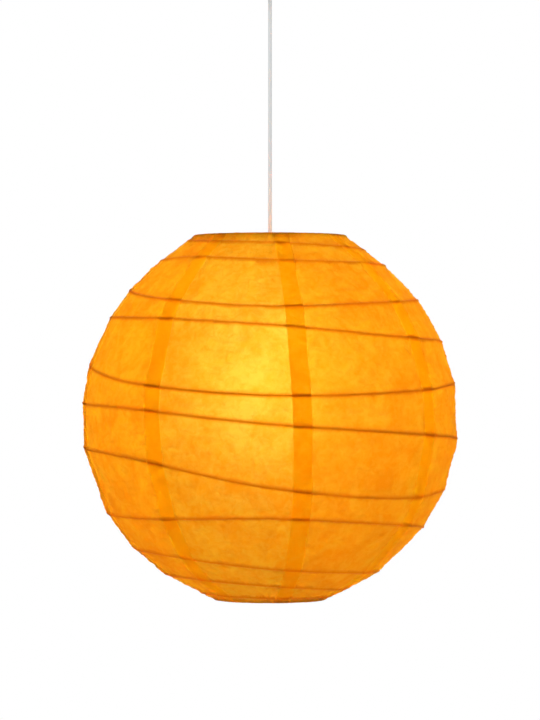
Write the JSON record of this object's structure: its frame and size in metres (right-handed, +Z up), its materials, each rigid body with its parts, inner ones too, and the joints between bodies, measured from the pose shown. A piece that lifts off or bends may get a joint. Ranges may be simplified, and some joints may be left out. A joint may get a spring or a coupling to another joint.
{
  "type": "accordion paper lantern",
  "caption": "Round folding paper lantern shade on a spiral wire rib, hung with a lampholder and lamp from a ceiling rose.",
  "frame": {"origin": "on the ceiling, at the middle of the rose's mounting bracket, with the lantern hanging below", "axes": "+Z up, out of the ceiling face; the lantern's front is -Y and its right side is +X"},
  "size_m": [0.4, 0.4, 0.679],
  "materials": {
    "paper": "matt dyed rice paper, crinkled, with long fibres, lit from inside",
    "rib_wire": "thin steel wire wound with dyed paper",
    "hoop_steel": "bright drawn wire",
    "frame_wire": "bright spring wire",
    "zinc_steel": "zinc plated",
    "white_enamel": "white satin enamel",
    "white_plastic": "white moulded plastic",
    "terminal_plastic": "cream nylon",
    "cord_sheath": "light grey soft plastic",
    "core_sheath": "coloured core sheath",
    "porcelain": "glazed porcelain",
    "brass": "bright pressed brass",
    "lamp_cap_metal": "rolled aluminium",
    "black_glass": "black vitrite",
    "solder": "dull solder",
    "lamp_glass": "inside-frosted glass, lit",
    "stem_glass": "clear glass",
    "lead_wire": "nickel wire",
    "filament": "glowing tungsten coil"
  },
  "bodies": {
    "ceiling_rose": {"mounting_bracket": "zinc_steel", "rose_cup": "white_enamel", "cover_screws": "zinc_steel", "cord_bush": "white_plastic", "bush_nut": "zinc_steel", "cord_tail": "cord_sheath", "terminal_block": "terminal_plastic", "terminal_screws": "brass", "rose_cores": "core_sheath"},
    "pendant": {"cord": "cord_sheath", "holder_cores": "core_sheath", "holder_cap": "white_plastic", "holder_cord_grip": "white_plastic", "holder_skirt": "white_plastic", "holder_insulator": "porcelain", "screw_shell": "brass", "centre_contact": "brass", "holder_terminal_screws": "brass", "shade_ring": "white_plastic"},
    "lamp": {"lamp_cap": "lamp_cap_metal", "lamp_insulator": "black_glass", "lamp_contact": "solder", "lamp_glass": "lamp_glass", "lamp_stem": "stem_glass", "lamp_leads": "lead_wire", "lamp_filament": "filament"},
    "shade": {"paper_panel_1": "paper", "paper_panel_2": "paper", "paper_panel_3": "paper", "paper_panel_4": "paper", "paper_panel_5": "paper", "paper_panel_6": "paper", "paper_panel_7": "paper", "paper_panel_8": "paper", "rib_wire": "rib_wire", "top_hoop": "hoop_steel", "top_hem": "paper", "hanger_wire": "frame_wire"},
    "leg_left": {"leg_left": "frame_wire"},
    "leg_right": {"leg_right": "frame_wire"},
    "bottom_rim": {"bottom_hoop": "hoop_steel", "bottom_hem": "paper"}
  },
  "joints": [
    {"name": "pendant_swing", "type": "hinge", "parent": "ceiling_rose", "child": "pendant", "pos_m": [0, 0, -0.031], "axis": [0, 1, 0], "range_deg": [-25, 25]},
    {"name": "shade_turn", "type": "hinge", "parent": "pendant", "child": "shade", "pos_m": [0, 0, -0.37545], "axis": [0, 0, 1], "continuous": true},
    {"name": "collapse", "type": "slide", "parent": "shade", "child": "bottom_rim", "axis": [0, 0, 1], "range_m": [0, 0.359], "deforming": ["paper_panel_1", "paper_panel_2", "paper_panel_3", "paper_panel_4", "paper_panel_5", "paper_panel_6", "paper_panel_7", "paper_panel_8", "rib_wire"]},
    {"name": "leg_left_squeeze", "type": "hinge", "parent": "shade", "child": "leg_left", "pos_m": [-0.0535, 0, -0.299], "axis": [0, -1, 0], "range_deg": [0, 3], "stiffness_Nm_per_rad": 0.5},
    {"name": "leg_right_squeeze", "type": "hinge", "parent": "shade", "child": "leg_right", "pos_m": [0.0535, 0, -0.299], "axis": [0, 1, 0], "range_deg": [0, 3], "stiffness_Nm_per_rad": 0.5},
    {"name": "lamp_unscrew", "type": "slide", "parent": "pendant", "child": "lamp", "axis": [0, 0, -1], "range_m": [0, 0.03]}
  ]
}
